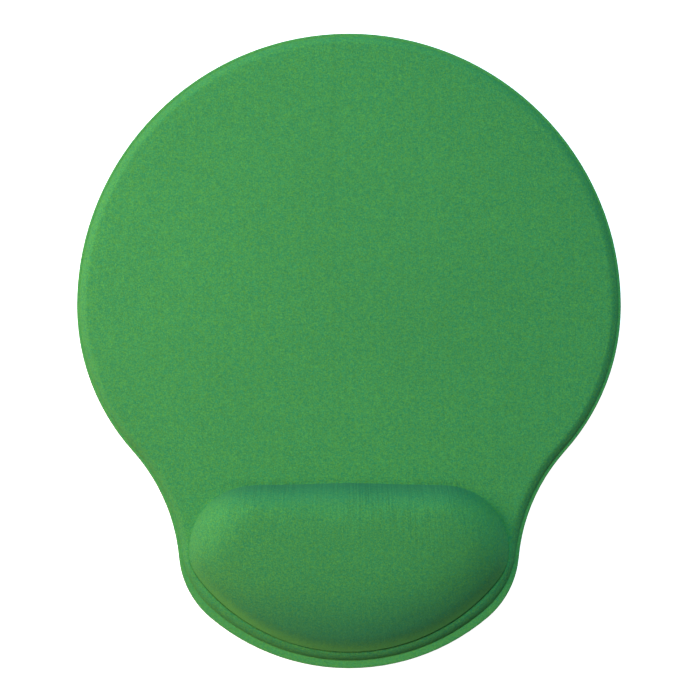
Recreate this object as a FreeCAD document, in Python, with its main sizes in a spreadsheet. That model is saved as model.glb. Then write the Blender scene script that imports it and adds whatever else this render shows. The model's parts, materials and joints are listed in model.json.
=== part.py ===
import FreeCAD, Part
import math
import os
import re

import Sketcher

# A soft mouse mat with a built-in wrist cushion, laid flat on a desk.
# Millimetres. +Z is up and Z = 0 is the underside. +Y points away from the user, so the
# cushion is at -Y. The origin is under the middle of the mat's length and width.

SIZES = [
    # The outline, seen from above: a round head, a neck on each side and a rounded front.
    ("mat_length", 245.0),
    ("mat_width", 210.0),
    ("shoulder_radius", 84.0),
    ("neck_radius", 71.0),
    ("hip_radius", 34.5),
    ("hip_width", 131.5),
    ("hip_from_front", 45.9),
    # The sheets that lie on each other, from the desk upwards.
    ("base_thickness", 1.0),
    ("bond_thickness", 0.1),
    ("foam_thickness", 2.5),
    ("glue_thickness", 0.1),
    ("cloth_thickness", 0.7),
    # The lip that the cover leaves round the foam, and the foam's rounded upper edge.
    ("side_lip", 1.2),
    ("front_lip", 3.2),
    ("foam_edge_round", 1.3),
    # The cushion's foot.
    ("cushion_front_gap", 6.7),
    ("cushion_side_gap", 4.2),
    ("cushion_depth", 65.2),
    ("cushion_corner_radius", 26.0),
    ("cushion_tip_radius", 15.0),
    ("cushion_tip_from_front", 38.0),
    # The cushion's height above the desk, and the flat crest at its top.
    ("cushion_height", 20.0),
    ("crest_depth", 16.2),
    ("crest_width", 76.0),
    ("crest_back_run", 9.0),
    ("crest_corner_radius", 6.0),
    ("crest_tip_radius", 2.5),
    ("crest_tip_from_front", 11.6),
    # The gel pouch.
    ("film_thickness", 0.3),
    ("weld_rim", 0.8),
]

# A rounding takes at most this share of the foam sheet's edge.
EDGE_SHARE = 0.6
# A pocket starts this far above the face that it cuts, so that it leaves no skin.
CUT_MARGIN = 1.0
# Each dome is lofted through this many outlines. They are evenly spaced on part of a quarter
# turn, which starts a little way up so that the dome leans inwards from its foot.
DOME_LEVELS = 6
FOOT_TURN = math.radians(15.0)
CREST_TURN = math.radians(90.0)

# Heights of the sheets, as sums of the sizes.
FOAM_BOTTOM = "base_thickness + bond_thickness"
FOAM_TOP = f"{FOAM_BOTTOM} + foam_thickness"
GLUE_TOP = f"{FOAM_TOP} + glue_thickness"
MAT_TOP = f"{GLUE_TOP} + cloth_thickness"
LIP_BOTTOM = "base_thickness + glue_thickness"

# How far each skin's outside lies within the outside of the cover.
GLUE_INSET = "cloth_thickness"
POUCH_INSET = f"{GLUE_INSET} + glue_thickness"
GEL_INSET = f"{POUCH_INSET} + film_thickness"
FOAM_ROUND = f"min(foam_edge_round; {EDGE_SHARE} * foam_thickness)"

doc = FreeCAD.newDocument("wrist_rest")


# ---------------------------------------------------------------- the sheet of sizes

def make_sheet():
    """The driving sizes, one row each: its name and its value in millimetres."""
    sheet = doc.addObject("Spreadsheet::Sheet", "sizes")
    for row, (alias, size) in enumerate(SIZES, start=1):
        sheet.set(f"A{row}", alias)
        sheet.set(f"B{row}", str(size))
        sheet.setAlias(f"B{row}", alias)
    doc.recompute()
    return sheet


sizes = make_sheet()
ALIASES = {alias for alias, _ in SIZES}


def on_sheet(text):
    """The text as an expression, with the sheet's name before each size."""
    return re.sub(r"[a-z_]+", lambda word: bound(word.group()), text)


def bound(word):
    """A word of an expression, with the sheet's name before it where it is a size."""
    if word in ALIASES:
        return f"sizes.{word}"
    return word


def value(text):
    """The number that an expression gives now."""
    return float(sizes.evalExpression(on_sheet(text)))


def point_towards(start, end, distance):
    """The point that far from start on the line towards end."""
    return start + (end - start).normalize() * distance


def front_arc_radius(across, back, radius):
    """Radius of the arc that crosses the middle line in front and holds a circle of that radius.

    The circle's centre lies across from the middle line and back from the front.
    """
    return f"(({across})^2 + ({back})^2 - ({radius})^2) / (2 * (({back}) - ({radius})))"


def circles_meet(first, first_radius, second, second_radius):
    """The crossing of two circles that lies furthest towards +X."""
    apart = first.distanceToPoint(second)
    along = (first_radius ** 2 - second_radius ** 2 + apart ** 2) / (2 * apart)
    aside = math.sqrt(first_radius ** 2 - along ** 2)
    foot = point_towards(first, second, along)
    turned = FreeCAD.Vector(first.y - second.y, second.x - first.x, 0).normalize()
    return max(foot + turned * aside, foot - turned * aside, key=lambda point: point.x)


# ---------------------------------------------------------------- sketches

def sketch_at(body, name, height):
    """An empty sketch in the body, level, at a height given as an expression."""
    plane = next(item for item in body.Origin.OriginFeatures if item.Role == "XY_Plane")
    sketch = body.newObject("Sketcher::SketchObject", name)
    sketch.AttachmentSupport = (plane, [""])
    sketch.MapMode = "FlatFace"
    sketch.setExpression("AttachmentOffset.Base.z", on_sheet(height))
    return sketch


def name_size(sketch, index, name, text):
    """Names a constraint and binds it to an expression."""
    sketch.renameConstraint(index, name)
    sketch.setExpression(f"Constraints.{name}", on_sheet(text))


def tangent_point(arc, other):
    """Where two arcs of a chain touch; an arc is its centre, radius and whether it bulges outwards."""
    centre, radius, outward = arc
    other_centre, other_radius, other_outward = other
    if outward == other_outward and other_radius > radius:
        return point_towards(other_centre, centre, other_radius)
    return point_towards(centre, other_centre, radius)


def add_arc(sketch, arc, start, end):
    """Adds an arc of the chain, anticlockwise round the shape from start to end."""
    centre, radius, outward = arc
    if not outward:
        start, end = end, start
    circle = Part.Circle(centre, FreeCAD.Vector(0, 0, 1), radius)
    angles = [math.atan2(point.y - centre.y, point.x - centre.x) for point in (start, end)]
    return sketch.addGeometry(Part.ArcOfCircle(circle, *angles))


def mirrored(arc):
    """The same arc on the other side of the middle line."""
    centre, radius, outward = arc
    return (FreeCAD.Vector(-centre.x, centre.y, 0), radius, outward)


def tie_ends(sketch, arcs, first, second):
    """Makes the end of one arc tangent to the start of the next."""
    end = 2 if arcs[first][2] else 1
    start = 1 if arcs[second][2] else 2
    sketch.addConstraint(Sketcher.Constraint("Tangent", first, end, second, start))


def tie_centre(sketch, arc, name, across, up):
    """Places an arc's centre from the origin, by expressions; None leaves a direction free."""
    for kind, text, suffix in (("DistanceX", across, "across"), ("DistanceY", up, "up")):
        if text is not None:
            size = value(text)
            index = sketch.addConstraint(Sketcher.Constraint(kind, -1, 1, arc, 3, size))
            name_size(sketch, index, f"{name}_{suffix}", text)


def tie_radius(sketch, arc, name, text):
    """Gives an arc its radius, by an expression."""
    index = sketch.addConstraint(Sketcher.Constraint("Radius", arc, value(text)))
    name_size(sketch, index, f"{name}_radius", text)


def mat_outline(body, name, height, side_inset, front_inset):
    """The mat's outline in eight tangent arcs, drawn in by one inset in front and one elsewhere."""
    head_radius = f"mat_width / 2 - ({side_inset})"
    head_up = "mat_length / 2 - mat_width / 2"
    shoulder_radius = f"shoulder_radius - ({side_inset})"
    shoulder_across = "mat_width / 2 - shoulder_radius"
    neck_radius = f"neck_radius + {side_inset}"
    hip_radius = f"hip_radius - ({side_inset})"
    hip_across = "hip_width / 2 - hip_radius"
    base_front = front_arc_radius(hip_across, "hip_from_front", "hip_radius")
    front_radius = f"{base_front} - ({front_inset})"
    front_up = f"{base_front} - mat_length / 2"

    head = FreeCAD.Vector(0, value(head_up), 0)
    shoulder = FreeCAD.Vector(value(shoulder_across), head.y, 0)
    front = FreeCAD.Vector(0, value(front_up), 0)
    reach = value(f"{front_radius} - ({hip_radius})")
    across = value(hip_across)
    hip = FreeCAD.Vector(across, front.y - math.sqrt(reach ** 2 - across ** 2), 0)
    neck = circles_meet(
        shoulder, value(f"{shoulder_radius} + {neck_radius}"),
        hip, value(f"{hip_radius} + {neck_radius}"),
    )
    right = [
        (hip, value(hip_radius), True),
        (neck, value(neck_radius), False),
        (shoulder, value(shoulder_radius), True),
    ]
    left = [mirrored(arc) for arc in reversed(right)]
    arcs = [(head, value(head_radius), True), *left, (front, value(front_radius), True), *right]

    sketch = sketch_at(body, name, height)
    draw_chain(sketch, arcs)
    tie_radius(sketch, 0, "head", head_radius)
    tie_centre(sketch, 0, "head", "0", head_up)
    tie_radius(sketch, 4, "front", front_radius)
    tie_centre(sketch, 4, "front", "0", front_up)
    for side, (hip_arc, neck_arc, shoulder_arc), sign in (
        ("right", (5, 6, 7), ""),
        ("left", (3, 2, 1), "-1 * "),
    ):
        tie_radius(sketch, hip_arc, f"{side}_hip", hip_radius)
        tie_radius(sketch, neck_arc, f"{side}_neck", neck_radius)
        tie_radius(sketch, shoulder_arc, f"{side}_shoulder", shoulder_radius)
        tie_centre(sketch, hip_arc, f"{side}_hip", f"{sign}({hip_across})", None)
        tie_centre(sketch, shoulder_arc, f"{side}_shoulder", None, head_up)
    return sketch


def draw_chain(sketch, arcs):
    """Draws a closed chain of tangent arcs, anticlockwise, and ties their ends."""
    count = len(arcs)
    for place, arc in enumerate(arcs):
        start = tangent_point(arcs[place - 1], arc)
        end = tangent_point(arc, arcs[(place + 1) % count])
        add_arc(sketch, arc, start, end)
    for place in range(count):
        tie_ends(sketch, arcs, place, (place + 1) % count)


def cushion_outline(body, name, height, inset, drawn_in=0.0):
    """The cushion seen from above at one height: a straight back, two corners, two tips and a front arc.

    drawn_in runs from 0 at the cushion's foot to 1 at its crest, and inset is the skin's own.
    """
    def between(foot, crest):
        return f"({foot}) * {1 - drawn_in:.6f} + ({crest}) * {drawn_in:.6f}"

    foot_front = "cushion_front_gap - mat_length / 2"
    foot_back = f"{foot_front} + cushion_depth"
    crest_back = f"{foot_back} - crest_back_run"
    back_up = between(foot_back, crest_back)
    front_up = between(foot_front, f"{crest_back} - crest_depth")
    half_width = between("hip_width / 2 - cushion_side_gap", "crest_width / 2")
    corner = between("cushion_corner_radius", "crest_corner_radius")
    tip = between("cushion_tip_radius", "crest_tip_radius")
    tip_across = f"{half_width} - ({tip})"
    tip_back = between("cushion_tip_from_front", "crest_tip_from_front")
    front = front_arc_radius(tip_across, tip_back, tip)
    front_centre_up = f"{front_up} + {front}"
    corner_up = f"{back_up} - ({corner})"

    front_centre = FreeCAD.Vector(0, value(front_centre_up), 0)
    tip_centre = FreeCAD.Vector(value(tip_across), value(f"{front_up} + {tip_back}"), 0)
    drop = value(corner_up) - tip_centre.y
    gap = value(f"{corner} - ({tip})")
    corner_across = tip_centre.x - math.sqrt(gap ** 2 - drop ** 2)
    corner_centre = FreeCAD.Vector(corner_across, value(corner_up), 0)
    skin = value(inset)
    right = [
        (tip_centre, value(tip) - skin, True),
        (corner_centre, value(corner) - skin, True),
    ]
    left = [mirrored(arc) for arc in reversed(right)]
    arcs = [*left, (front_centre, value(front) - skin, True), *right]

    sketch = sketch_at(body, name, height)
    start = FreeCAD.Vector(-corner_centre.x, value(f"{back_up} - ({inset})"), 0)
    finish = FreeCAD.Vector(corner_centre.x, start.y, 0)
    points = [start] + [tangent_point(*pair) for pair in zip(arcs, arcs[1:])] + [finish]
    for arc, (first, second) in zip(arcs, zip(points, points[1:])):
        add_arc(sketch, arc, first, second)
    back = sketch.addGeometry(Part.LineSegment(finish, start))
    for place in range(len(arcs) - 1):
        tie_ends(sketch, arcs, place, place + 1)
    sketch.addConstraint(Sketcher.Constraint("Tangent", len(arcs) - 1, 2, back, 1))
    sketch.addConstraint(Sketcher.Constraint("Tangent", back, 2, 0, 1))
    sketch.addConstraint(Sketcher.Constraint("Horizontal", back))
    tie_radius(sketch, 2, "front", f"{front} - ({inset})")
    tie_centre(sketch, 2, "front", "0", front_centre_up)
    for side, tip_arc, corner_arc, sign in (("left", 1, 0, "-1 * "), ("right", 3, 4, "")):
        tie_radius(sketch, tip_arc, f"{side}_tip", f"{tip} - ({inset})")
        tie_radius(sketch, corner_arc, f"{side}_corner", f"{corner} - ({inset})")
        tie_centre(sketch, tip_arc, f"{side}_tip", f"{sign}({tip_across})", None)
    tie_centre(sketch, 0, "left_corner", None, corner_up)
    return sketch


# ---------------------------------------------------------------- features

def new_body(name):
    """A body with its name as its label."""
    body = doc.addObject("PartDesign::Body", name)
    body.Label = name
    return body


def pad(body, sketch, name, thickness):
    """A pad upwards from a sketch, its thickness given as an expression."""
    feature = body.newObject("PartDesign::Pad", name)
    feature.Profile = sketch
    feature.setExpression("Length", on_sheet(thickness))
    doc.recompute()
    return feature


def round_rim(body, base, name, height, radius):
    """Rounds every edge of the base that lies wholly at a height."""
    level = value(height)
    edges = []
    for place, edge in enumerate(base.Shape.Edges, start=1):
        box = edge.BoundBox
        if abs(box.ZMin - level) < 1e-4 and abs(box.ZMax - level) < 1e-4:
            edges.append(f"Edge{place}")
    feature = body.newObject("PartDesign::Fillet", name)
    feature.Base = (base, edges)
    feature.setExpression("Radius", on_sheet(radius))
    doc.recompute()
    return feature


def dome(body, name, foot, inset):
    """The cushion's crowned form for one skin, lofted from its foot to its crest."""
    crest = f"cushion_height - ({inset})"
    sketches = []
    for level in range(DOME_LEVELS):
        turn = FOOT_TURN + (CREST_TURN - FOOT_TURN) * level / (DOME_LEVELS - 1)
        rise = (math.sin(turn) - math.sin(FOOT_TURN)) / (1 - math.sin(FOOT_TURN))
        drawn_in = 1 - math.cos(turn) / math.cos(FOOT_TURN)
        height = f"({foot}) * {1 - rise:.6f} + ({crest}) * {rise:.6f}"
        sketches.append(cushion_outline(body, f"{name}_level_{level}", height, inset, drawn_in))
    feature = body.newObject("PartDesign::AdditiveLoft", name)
    feature.Profile = sketches[0]
    feature.Sections = sketches[1:]
    feature.Ruled = False
    feature.Closed = False
    doc.recompute()
    return feature


def envelope(name, lip_thickness, step_bottom, step_top, lip_bottom, inset):
    """A solid bounded by one skin's outside: its lip, its step round the foam and its dome."""
    body = new_body(name)
    if lip_thickness:
        outline = mat_outline(body, f"{name}_lip_outline", lip_bottom, "0", "0")
        pad(body, outline, f"{name}_lip", lip_thickness)
    around = f"cloth_thickness + glue_thickness - ({inset})"
    outline = mat_outline(
        body, f"{name}_step_outline", step_bottom,
        f"side_lip + {POUCH_INSET} - ({around})",
        f"front_lip + {POUCH_INSET} - ({around})",
    )
    step = pad(body, outline, f"{name}_step", f"{step_top} - ({step_bottom})")
    round_rim(body, step, f"{name}_round", step_top, f"{FOAM_ROUND} + {around}")
    dome(body, f"{name}_dome", step_top, inset)
    return body


def cut(name, base, tool):
    """What is left of one body outside another."""
    result = doc.addObject("Part::Cut", name)
    result.Label = name
    result.Base = base
    result.Tool = tool
    doc.recompute()
    return result


# ---------------------------------------------------------------- the pieces

def make_base_sheet():
    """The non-slip rubber sheet that the whole mat lies on."""
    body = new_body("base_sheet")
    outline = mat_outline(body, "base_outline", "0", "0", "0")
    pad(body, outline, "base_pad", "base_thickness")
    return body


def foam_outline(body, name, height):
    """The outline of the foam and of the film that bonds it down."""
    return mat_outline(
        body, name, height, f"side_lip + {POUCH_INSET}", f"front_lip + {POUCH_INSET}"
    )


def make_base_adhesive():
    """The film that bonds the foam to the rubber."""
    body = new_body("base_adhesive")
    pad(body, foam_outline(body, "bond_outline", "base_thickness"), "bond_pad", "bond_thickness")
    return body


def make_mat_foam():
    """The foam sheet, rounded along its upper edge, with a recess for the pouch's rim."""
    body = new_body("mat_foam")
    sheet = pad(body, foam_outline(body, "foam_outline", FOAM_BOTTOM), "foam_pad", "foam_thickness")
    rounded = round_rim(body, sheet, "foam_round", FOAM_TOP, FOAM_ROUND)
    before = rounded.Shape.Volume
    recess = body.newObject("PartDesign::Pocket", "rim_recess")
    recess.Profile = pouch_rim_outline(body, "recess_outline", f"{FOAM_TOP} + {CUT_MARGIN}")
    recess.setExpression("Length", on_sheet(f"2 * film_thickness + {CUT_MARGIN}"))
    doc.recompute()
    if recess.Shape.Volume >= before:
        raise RuntimeError("the recess for the pouch's rim cuts nothing")
    return body


def pouch_rim_outline(body, name, height):
    """The outline of the pouch's weld rim."""
    return cushion_outline(body, name, height, f"{POUCH_INSET} - weld_rim")


def make_pouch_lower_film():
    """The flat film under the gel."""
    body = new_body("pouch_lower_film")
    outline = pouch_rim_outline(body, "lower_film_outline", f"{FOAM_TOP} - 2 * film_thickness")
    pad(body, outline, "lower_film_pad", "film_thickness")
    return body


def make_gel_core():
    """The gel that fills the pouch."""
    body = new_body("gel_core")
    dome(body, "gel_dome", f"{FOAM_TOP} - film_thickness", GEL_INSET)
    return body


def make_pouch_upper_film(gel_core):
    """The domed film over the gel, with the rim that is welded to the lower film."""
    body = new_body("pouch_form")
    outline = pouch_rim_outline(body, "upper_film_outline", f"{FOAM_TOP} - film_thickness")
    pad(body, outline, "upper_film_rim", "film_thickness")
    dome(body, "upper_film_dome", FOAM_TOP, POUCH_INSET)
    return cut("pouch_upper_film", body, gel_core)


def make_cover():
    """The knitted cover and the film that bonds it, both open below."""
    core_form = envelope("core_form", None, "base_thickness", FOAM_TOP, None, POUCH_INSET)
    glue_form = envelope(
        "glue_form", "glue_thickness", "base_thickness", GLUE_TOP, "base_thickness", GLUE_INSET
    )
    cloth_form = envelope("cloth_form", "cloth_thickness", LIP_BOTTOM, MAT_TOP, LIP_BOTTOM, "0")
    return [
        cut("cover_adhesive", glue_form, core_form),
        cut("cover_cloth", cloth_form, glue_form),
    ]


# ---------------------------------------------------------------- checks and files

def check(pieces):
    """Stops if any object failed or any piece isn't one valid solid."""
    doc.recompute()
    for item in doc.Objects:
        if "Invalid" in item.State or "Error" in item.State:
            raise RuntimeError(f"{item.Name} failed: {item.State}")
    for piece in pieces:
        shape = piece.Shape
        if shape.isNull() or not shape.isValid() or len(shape.Solids) != 1:
            raise RuntimeError(f"{piece.Label} isn't one valid solid")


def main():
    """Builds every piece, checks it and writes one file for each."""
    pieces = [make_base_sheet(), make_base_adhesive(), make_mat_foam(), make_pouch_lower_film()]
    gel_core = make_gel_core()
    pieces += [gel_core, make_pouch_upper_film(gel_core), *make_cover()]
    check(pieces)
    os.makedirs("parts", exist_ok=True)
    for piece in pieces:
        piece.Shape.exportStep(f"parts/{piece.Label}.step")
        box = piece.Shape.BoundBox
        print(
            f"{piece.Label}: {piece.Shape.Volume / 1000:.2f} cm3, "
            f"z {box.ZMin:.2f} to {box.ZMax:.2f}, {box.XLength:.2f} x {box.YLength:.2f}"
        )


main()
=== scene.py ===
import json
import logging
import math
from dataclasses import dataclass
from enum import Enum
from functools import reduce
from typing import Sequence

import bmesh
import bpy
import numpy as np
from mathutils import Matrix, Vector
from mathutils.bvhtree import BVHTree


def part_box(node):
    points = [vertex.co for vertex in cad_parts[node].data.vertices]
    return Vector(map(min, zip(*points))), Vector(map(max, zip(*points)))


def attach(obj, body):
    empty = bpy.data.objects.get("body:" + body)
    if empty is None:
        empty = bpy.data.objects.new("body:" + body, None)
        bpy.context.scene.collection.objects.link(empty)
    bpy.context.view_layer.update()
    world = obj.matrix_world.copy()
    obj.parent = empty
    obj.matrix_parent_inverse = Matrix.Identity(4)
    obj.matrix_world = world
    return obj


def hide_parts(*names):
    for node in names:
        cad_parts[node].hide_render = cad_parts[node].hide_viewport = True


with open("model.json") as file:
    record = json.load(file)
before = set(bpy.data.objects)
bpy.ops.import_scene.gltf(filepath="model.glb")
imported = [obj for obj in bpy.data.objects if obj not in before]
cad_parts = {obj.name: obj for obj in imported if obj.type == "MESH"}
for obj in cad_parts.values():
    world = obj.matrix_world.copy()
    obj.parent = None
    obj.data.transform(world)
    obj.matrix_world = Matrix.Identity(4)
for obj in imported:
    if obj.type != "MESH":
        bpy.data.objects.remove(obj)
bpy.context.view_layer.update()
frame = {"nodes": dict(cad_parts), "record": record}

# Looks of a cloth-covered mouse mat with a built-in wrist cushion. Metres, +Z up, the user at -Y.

MM = 0.001
BODY = "root"
# How far from the pole a flat sheet's last ring lies.
INNER_RING = 1.0 * MM
TINY = 1e-12
DOWN = Vector((0.0, 0.0, -1.0))

logging.basicConfig(level=logging.INFO, format="%(message)s")
log = logging.getLogger("wrist_rest")


class Shape(Enum):
    """How a swept skin ends at its last ring."""

    OPEN = "open"
    POLE = "pole"


# ---- the frame's own measures


@dataclass(frozen=True)
class Layers:
    """Heights and thicknesses of the stacked sheets, read from the frame."""

    base_top: float
    foam_bottom: float
    foam_top: float
    seat: float
    gel_floor: float
    mat_top: float
    lip_bottom: float
    film: float
    glue: float
    cloth: float
    crown: float

    @classmethod
    def from_frame(cls) -> "Layers":
        """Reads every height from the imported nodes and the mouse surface's mount.

        Returns:
            The stack's heights, in metres.
        """
        mounts = {mount["name"]: mount for mount in frame["record"]["mounts"]}
        base_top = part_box("base_sheet")[1].z
        foam_low, foam_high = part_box("mat_foam")
        cover_low, cover_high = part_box("cover_cloth")
        film_low, film_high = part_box("pouch_lower_film")
        glue = cover_low.z - base_top
        mat_top = mounts["mouse_surface"]["pos_m"][2]
        return cls(
            base_top=base_top,
            foam_bottom=foam_low.z,
            foam_top=foam_high.z,
            seat=film_low.z,
            gel_floor=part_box("gel_core")[0].z,
            mat_top=mat_top,
            lip_bottom=cover_low.z,
            film=film_high.z - film_low.z,
            glue=glue,
            cloth=mat_top - foam_high.z - glue,
            crown=cover_high.z,
        )

    @property
    def lip_top(self) -> float:
        """Height of the cloth on the lip."""
        return self.lip_bottom + self.cloth


@dataclass(frozen=True)
class Spokes:
    """Directions round a pole on the cushion's crest, along which every skin is measured."""

    pole: Vector = Vector((0.0, -70 * MM, 0.0))
    count: int = 480
    reach: float = 0.4

    @property
    def directions(self) -> np.ndarray:
        """Unit directions of the spokes, one row each."""
        angles = np.arange(self.count) * (2 * math.pi / self.count)
        return np.column_stack([np.cos(angles), np.sin(angles)])

    def wall(self, node: str, height: float) -> np.ndarray:
        """Distances from the pole to a node's outer wall.

        Args:
            node: The frame's node.
            height: The level at which the wall is met.

        Returns:
            One distance for each spoke.
        """
        tree = tree_of(frame["nodes"][node].data)
        distances = []
        for across, along in self.directions:
            outward = Vector((across, along, 0.0))
            start = Vector((self.pole.x, self.pole.y, height)) + outward * self.reach
            hit = tree.ray_cast(start, -outward)
            distances.append(self.reach - hit[3])
        return np.array(distances)

    def ring(self, distance: np.ndarray | float, height: np.ndarray | float) -> np.ndarray:
        """Points at a distance from the pole and at a height.

        Args:
            distance: One distance, or one for each spoke.
            height: One height, or one for each spoke.

        Returns:
            One point for each spoke.
        """
        plan = np.asarray(distance).reshape(-1, 1) * self.directions
        points = np.zeros((self.count, 3))
        points[:, 0] = self.pole.x + plan[:, 0]
        points[:, 1] = self.pole.y + plan[:, 1]
        points[:, 2] = height
        return points


def tree_of(mesh: bpy.types.Mesh) -> BVHTree:
    """A search tree of a mesh's faces."""
    points = [vertex.co for vertex in mesh.vertices]
    return BVHTree.FromPolygons(points, [tuple(face.vertices) for face in mesh.polygons])


# ---- mesh helpers


def sweep_rings(name: str, rings: Sequence[np.ndarray], start: Shape, end: Shape) -> bpy.types.Object:
    """Draws a skin through rings of points by extruding a circle from one ring to the next.

    Args:
        name: The new object's name.
        rings: Rings of equally many points.
        start: Whether the first ring is left open or closed to a pole.
        end: Whether the last ring is left open or closed to a pole.

    Returns:
        The new object, with its faces turned outwards.
    """
    shape = bmesh.new()
    spoke = shape.verts.layers.int.new("spoke")
    circle = bmesh.ops.create_circle(shape, segments=len(rings[0]), radius=1.0)["verts"]
    for place, vertex in enumerate(circle):
        vertex[spoke] = place
        vertex.co = Vector(rings[0][place])
    first_edges = list(shape.edges)
    edges = first_edges
    for ring in rings[1:]:
        grown = bmesh.ops.extrude_edge_only(shape, edges=edges)["geom"]
        for vertex in (item for item in grown if isinstance(item, bmesh.types.BMVert)):
            vertex.co = Vector(ring[vertex[spoke]])
        edges = [item for item in grown if isinstance(item, bmesh.types.BMEdge)]
    for way, rim in ((start, first_edges), (end, edges)):
        if way is Shape.POLE:
            close_to_pole(shape, rim)
    return object_from(shape, name)


def close_to_pole(shape: bmesh.types.BMesh, rim: Sequence[bmesh.types.BMEdge]) -> None:
    """Closes a rim with a fan of faces that meet in its middle.

    Args:
        shape: The mesh.
        rim: The edges of the open rim.
    """
    grown = bmesh.ops.extrude_edge_only(shape, edges=list(rim))["geom"]
    points = [item for item in grown if isinstance(item, bmesh.types.BMVert)]
    middle = sum((vertex.co for vertex in points), Vector()) / len(points)
    bmesh.ops.pointmerge(shape, verts=points, merge_co=middle)


def object_from(shape: bmesh.types.BMesh, name: str, smooth: bool = True) -> bpy.types.Object:
    """Makes an object of a mesh, with its faces turned outwards.

    Args:
        shape: The mesh, which is freed.
        name: The object's and its mesh's name.
        smooth: Whether its faces are shaded smooth.

    Returns:
        The object, linked to the scene.
    """
    bmesh.ops.recalc_face_normals(shape, faces=shape.faces)
    highest = max(shape.faces, key=lambda face: face.calc_center_median().z)
    if highest.normal.z < 0:
        bmesh.ops.reverse_faces(shape, faces=shape.faces)
    mesh = bpy.data.meshes.new(name)
    shape.to_mesh(mesh)
    shape.free()
    if smooth:
        mesh.shade_smooth()
    else:
        mesh.shade_flat()
    made = bpy.data.objects.new(name, mesh)
    bpy.context.scene.collection.objects.link(made)
    return made


def thicken(piece: bpy.types.Object, thickness: float) -> None:
    """Gives a skin its thickness on its inner side.

    Args:
        piece: The skin.
        thickness: Its thickness.
    """
    wall = piece.modifiers.new("thickness", "SOLIDIFY")
    wall.thickness = thickness
    wall.offset = -1.0
    wall.use_even_offset = False


def apply_modifiers(piece: bpy.types.Object) -> None:
    """Turns a piece's modified mesh into its own mesh.

    Args:
        piece: The object, whose mesh is replaced.
    """
    graph = bpy.context.evaluated_depsgraph_get()
    mesh = bpy.data.meshes.new_from_object(piece.evaluated_get(graph))
    piece.modifiers.clear()
    piece.data = mesh


def smooth_step(value: np.ndarray | float, low: float, high: float) -> np.ndarray:
    """Eases from 0 at low to 1 at high."""
    share = np.clip((np.asarray(value) - low) / (high - low), 0.0, 1.0)
    return share * share * (3 - 2 * share)


def soft_max(first: np.ndarray, second: np.ndarray | float, radius: float) -> np.ndarray:
    """The larger of two heights, with a fillet of about that radius between them."""
    overlap = np.clip(radius - np.abs(first - second), 0.0, None)
    return np.maximum(first, second) + overlap ** 2 / (4 * radius)


def finish_piece(
    piece: bpy.types.Object, material: bpy.types.Material, slot: str, *nodes: str
) -> bpy.types.Object:
    """Dresses a piece, fixes it to the body and hides the frame's nodes that it stands for.

    Args:
        piece: The finished object.
        material: Its finish.
        slot: The record's material slot; not used.
        nodes: The frame's nodes that it stands for.

    Returns:
        The same object.
    """
    piece.data.materials.clear()
    piece.data.materials.append(material)
    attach(piece, BODY)
    if nodes:
        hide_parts(*nodes)
    log.info("%s: %d faces", piece.name, len(piece.data.polygons))
    return piece


# ---- shared shader groups


@dataclass
class Wiring:
    """Adds nodes to a tree and joins their sockets."""

    tree: bpy.types.NodeTree

    def put(
        self, kind: str, settings: dict | None = None, numbered: dict | None = None, **inputs: object
    ) -> bpy.types.Node:
        """Adds a node.

        Args:
            kind: The node's type, without its ShaderNode start.
            settings: The node's own properties.
            numbered: Its inputs by number.
            inputs: Its inputs by name, with _ for a space: each a value or a socket to link.

        Returns:
            The node.
        """
        node = self.tree.nodes.new(f"ShaderNode{kind}")
        for name, setting in (settings or {}).items():
            setattr(node, name, setting)
        for place, given in (numbered or {}).items():
            self.join(given, node.inputs[place])
        self.feed(node, inputs)
        return node

    def feed(self, node: bpy.types.Node, inputs: dict[str, object]) -> None:
        """Sets or links a node's inputs, by name with _ for a space."""
        for name, given in inputs.items():
            self.join(given, node.inputs[name.replace("_", " ")])

    def join(self, given: object, socket: bpy.types.NodeSocket) -> None:
        """Links a socket to an input, or sets the input's value.

        Args:
            given: The socket or the value.
            socket: The input.
        """
        if isinstance(given, bpy.types.NodeSocket):
            self.tree.links.new(given, socket)
        else:
            socket.default_value = given

    def calc(self, operation: str, first: object, second: object = 0.0) -> bpy.types.NodeSocket:
        """One arithmetic operation on one or two numbers or sockets."""
        return self.put("Math", {"operation": operation}, {0: first, 1: second}).outputs[0]

    def times(self, *factors: object) -> object:
        """The product of numbers or sockets."""
        return reduce(lambda first, second: self.calc("MULTIPLY", first, second), factors)

    def plus(self, first: object, second: object) -> bpy.types.NodeSocket:
        """The sum of two numbers or sockets."""
        return self.calc("ADD", first, second)

    def fit(
        self, given: object, low: object, high: object, new_low: float = 0.0, new_high: float = 1.0
    ) -> bpy.types.NodeSocket:
        """Maps a range of a value, which may run downwards, onto another without overshoot."""
        numbered = dict(enumerate((given, low, high, new_low, new_high)))
        return self.put("MapRange", {"clamp": True}, numbered).outputs[0]

    def spread(self, mask: object, span: Sequence[float]) -> bpy.types.NodeSocket:
        """Maps 0 to 1 onto a span."""
        return self.fit(mask, 0.0, 1.0, *span)

    def mix(self, share: object, first: object, second: object, way: str = "MIX") -> bpy.types.NodeSocket:
        """Mixes two colours by the second's share."""
        settings = {"data_type": "RGBA", "blend_type": way, "clamp_factor": True}
        return self.put("Mix", settings, {0: share, 6: first, 7: second}).outputs[2]

    def shade(self, colour: object, factor: object) -> bpy.types.NodeSocket:
        """A colour multiplied by a number."""
        grey = self.put("CombineColor", Red=factor, Green=factor, Blue=factor).outputs[0]
        return self.mix(1.0, colour, grey, "MULTIPLY")

    def noise(self, vector: object, scale: object, detail: float, rough: float = 0.5) -> bpy.types.NodeSocket:
        """The value of a noise texture."""
        node = self.put("TexNoise", Vector=vector, Scale=scale, Detail=detail, Roughness=rough)
        return node.outputs["Fac"]


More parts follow.
